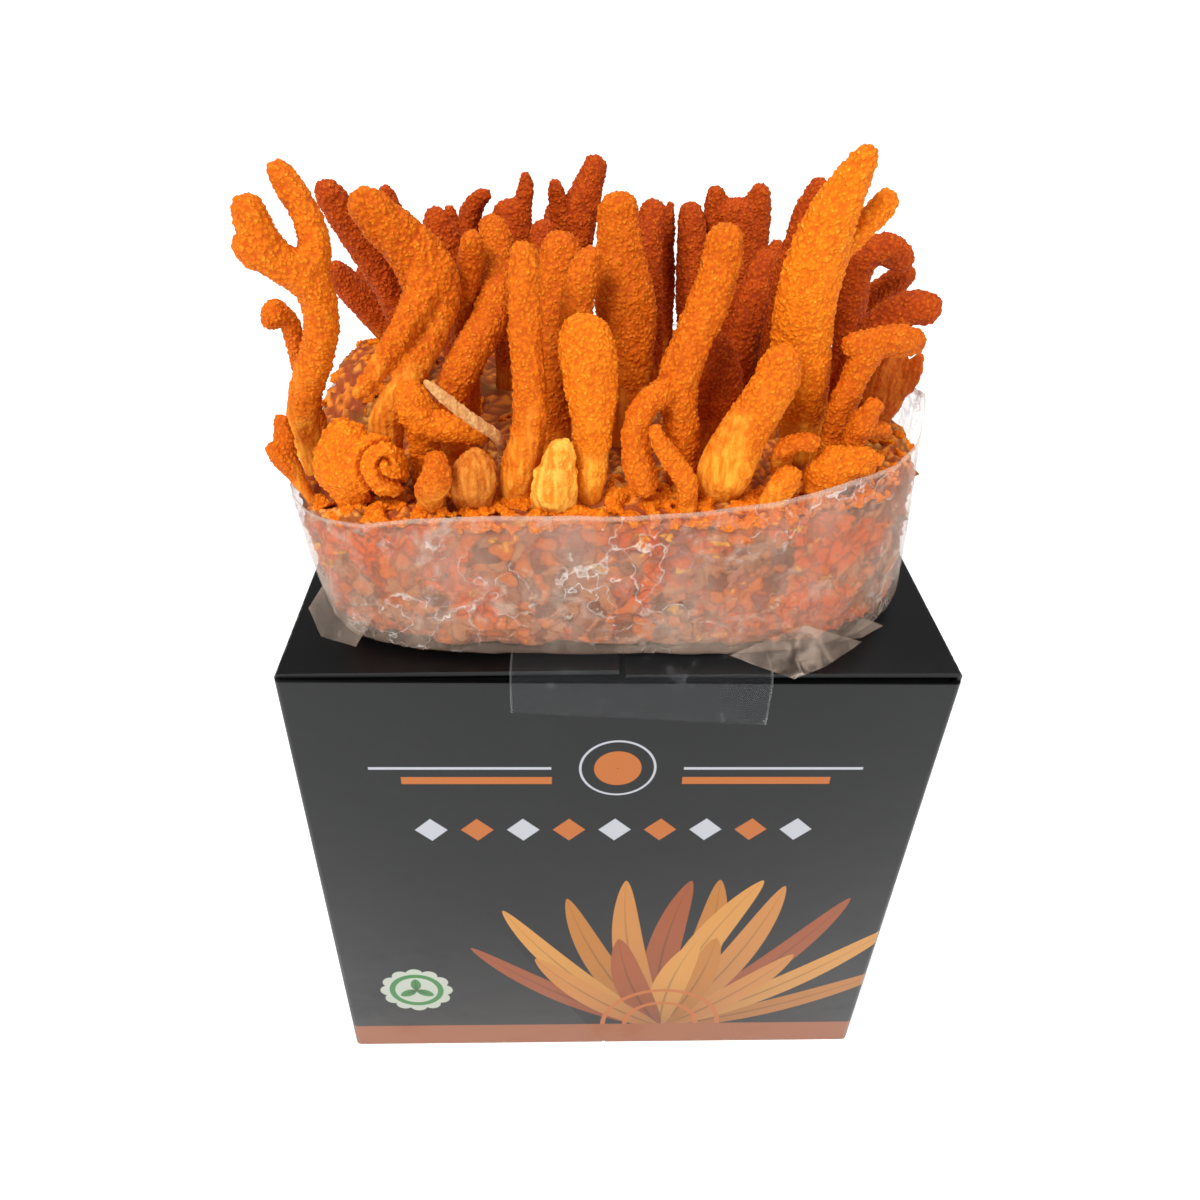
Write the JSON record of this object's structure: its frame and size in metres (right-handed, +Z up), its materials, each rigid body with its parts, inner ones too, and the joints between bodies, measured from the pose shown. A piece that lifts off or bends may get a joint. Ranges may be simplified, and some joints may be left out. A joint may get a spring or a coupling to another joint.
{
  "type": "cordyceps mushroom grow kit",
  "caption": "Grow kit of orange cordyceps clubs on a grain block in an opened clear bag, standing on its black folded carton.",
  "frame": {"origin": "middle of the carton's underside", "axes": "+Z up, -Y towards the carton's front face, +X to its right"},
  "size_m": [0.127, 0.1284, 0.211],
  "materials": {
    "carton_board": "satin",
    "clear_tape": "gloss",
    "bag_film": "satin",
    "grain_block": "matte",
    "club_bright": "matte",
    "club_deep": "matte",
    "club_pale": "matte",
    "dry_straw": "matte"
  },
  "bodies": {
    "root": {"carton": "carton_board", "tape": "clear_tape", "grow_bag": "bag_film", "substrate_block": "grain_block", "folded_lump": "club_bright", "small_lobe": "club_bright", "fibrous_barrel": "club_pale", "curled_tube": "club_bright", "dry_straw": "dry_straw", "tall_front_club": "club_bright", "pale_bulge": "club_pale", "front_column": "club_bright", "collared_club": "club_bright", "curled_finger": "club_bright", "leaning_club": "club_bright", "small_tube": "club_bright", "short_stub": "club_bright", "low_fan": "club_bright", "side_finger": "club_bright", "antler_club": "club_bright", "drooping_side_club": "club_bright", "rim_club": "club_bright", "hooked_club": "club_bright", "horn_club": "club_deep", "horn_knob": "club_deep", "back_leaning_club": "club_deep", "back_small_club": "club_deep", "back_short_club": "club_deep", "blunt_double_club": "club_deep", "bent_tip_club": "club_deep", "slim_column": "club_bright", "stub_column": "club_bright", "broad_headed_club": "club_bright", "narrow_club": "club_deep", "spiked_club": "club_deep", "two_tipped_club": "club_deep", "flared_club": "club_bright", "little_beside_club": "club_bright", "back_column": "club_deep", "thin_club": "club_deep", "back_right_column": "club_deep", "fused_crown": "club_deep", "crown_neighbour": "club_deep", "slanting_club": "club_deep", "shaded_club": "club_deep", "big_right_club": "club_bright", "slim_behind_club": "club_deep", "drooping_flat_club": "club_deep", "right_back_club": "club_deep", "right_back_twig": "club_deep", "pointing_club": "club_deep", "bracket_club": "club_bright", "broad_pale_stem": "club_deep", "rear_left_club": "club_deep", "rear_middle_club": "club_deep", "rear_forked_club": "club_deep", "rear_right_club": "club_deep", "rear_edge_club": "club_deep"}
  },
  "joints": []
}
